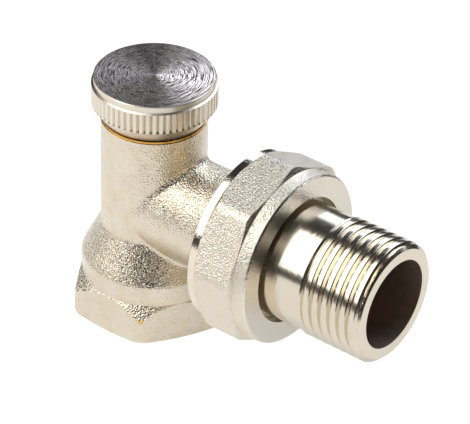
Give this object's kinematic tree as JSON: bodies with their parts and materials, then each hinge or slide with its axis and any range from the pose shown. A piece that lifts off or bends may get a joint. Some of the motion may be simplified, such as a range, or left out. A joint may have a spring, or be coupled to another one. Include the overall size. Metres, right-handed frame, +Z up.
{
  "type": "angle lockshield radiator valve",
  "caption": "Angle lockshield radiator valve in nickel-plated brass with a knurled protective cap, a union nut and a threaded tailpiece.",
  "frame": {"origin": "centre of the inlet's mouth, in the plane of the hexagon foot's bottom face", "axes": "+Z up along the spindle, +X out along the tailpiece towards the radiator"},
  "size_m": [0.0644, 0.0326, 0.0457],
  "materials": {
    "nickel_blasted": "blasted nickel plating",
    "nickel_turned": "turned and polished nickel plating",
    "bare_brass": "turned",
    "clip_steel": "drawn wire",
    "seal_rubber": "matte"
  },
  "bodies": {
    "valve": {"valve_body": "nickel_blasted", "bonnet": "bare_brass", "bonnet_o_ring": "seal_rubber"},
    "disc": {"disc_holder": "bare_brass", "disc_seal": "seal_rubber", "disc_screw": "bare_brass", "disc_clip": "clip_steel"},
    "spindle": {"spindle": "bare_brass", "spindle_o_ring_upper": "seal_rubber", "spindle_o_ring_lower": "seal_rubber"},
    "cap_seal": {"cap_gasket": "seal_rubber"},
    "cap": {"cap": "nickel_turned"},
    "tail": {"tailpiece": "nickel_turned", "tail_o_ring": "seal_rubber"},
    "nut": {"union_nut": "nickel_blasted"}
  },
  "joints": [
    {"name": "disc_lift", "type": "slide", "parent": "valve", "child": "disc", "axis": [0, 0, 1], "range_m": [0, 0.0035]},
    {"name": "spindle_turn", "type": "hinge", "parent": "disc", "child": "spindle", "pos_m": [0, 0, 0.0306], "axis": [0, 0, 1], "range_deg": [0, 1260]},
    {"name": "cap_lift", "type": "slide", "parent": "valve", "child": "cap_seal", "axis": [0, 0, 1], "range_m": [0, 0.004]},
    {"name": "cap_turn", "type": "hinge", "parent": "cap_seal", "child": "cap", "pos_m": [0, 0, 0.042], "axis": [0, 0, 1], "range_deg": [0, 1440]},
    {"name": "tail_slide", "type": "slide", "parent": "valve", "child": "tail", "axis": [1, 0, 0], "range_m": [0, 0.00726]},
    {"name": "nut_turn", "type": "hinge", "parent": "tail", "child": "nut", "pos_m": [0.0252, 0, 0.02228], "axis": [1, 0, 0], "range_deg": [0, 1440]}
  ],
  "couplings": [
    {"joint": "spindle_turn", "follows": "disc_lift", "rad_per_m": 6283.2},
    {"joint": "cap_turn", "follows": "cap_lift", "rad_per_m": 6283.2},
    {"joint": "nut_turn", "follows": "tail_slide", "rad_per_m": 3463.7}
  ]
}
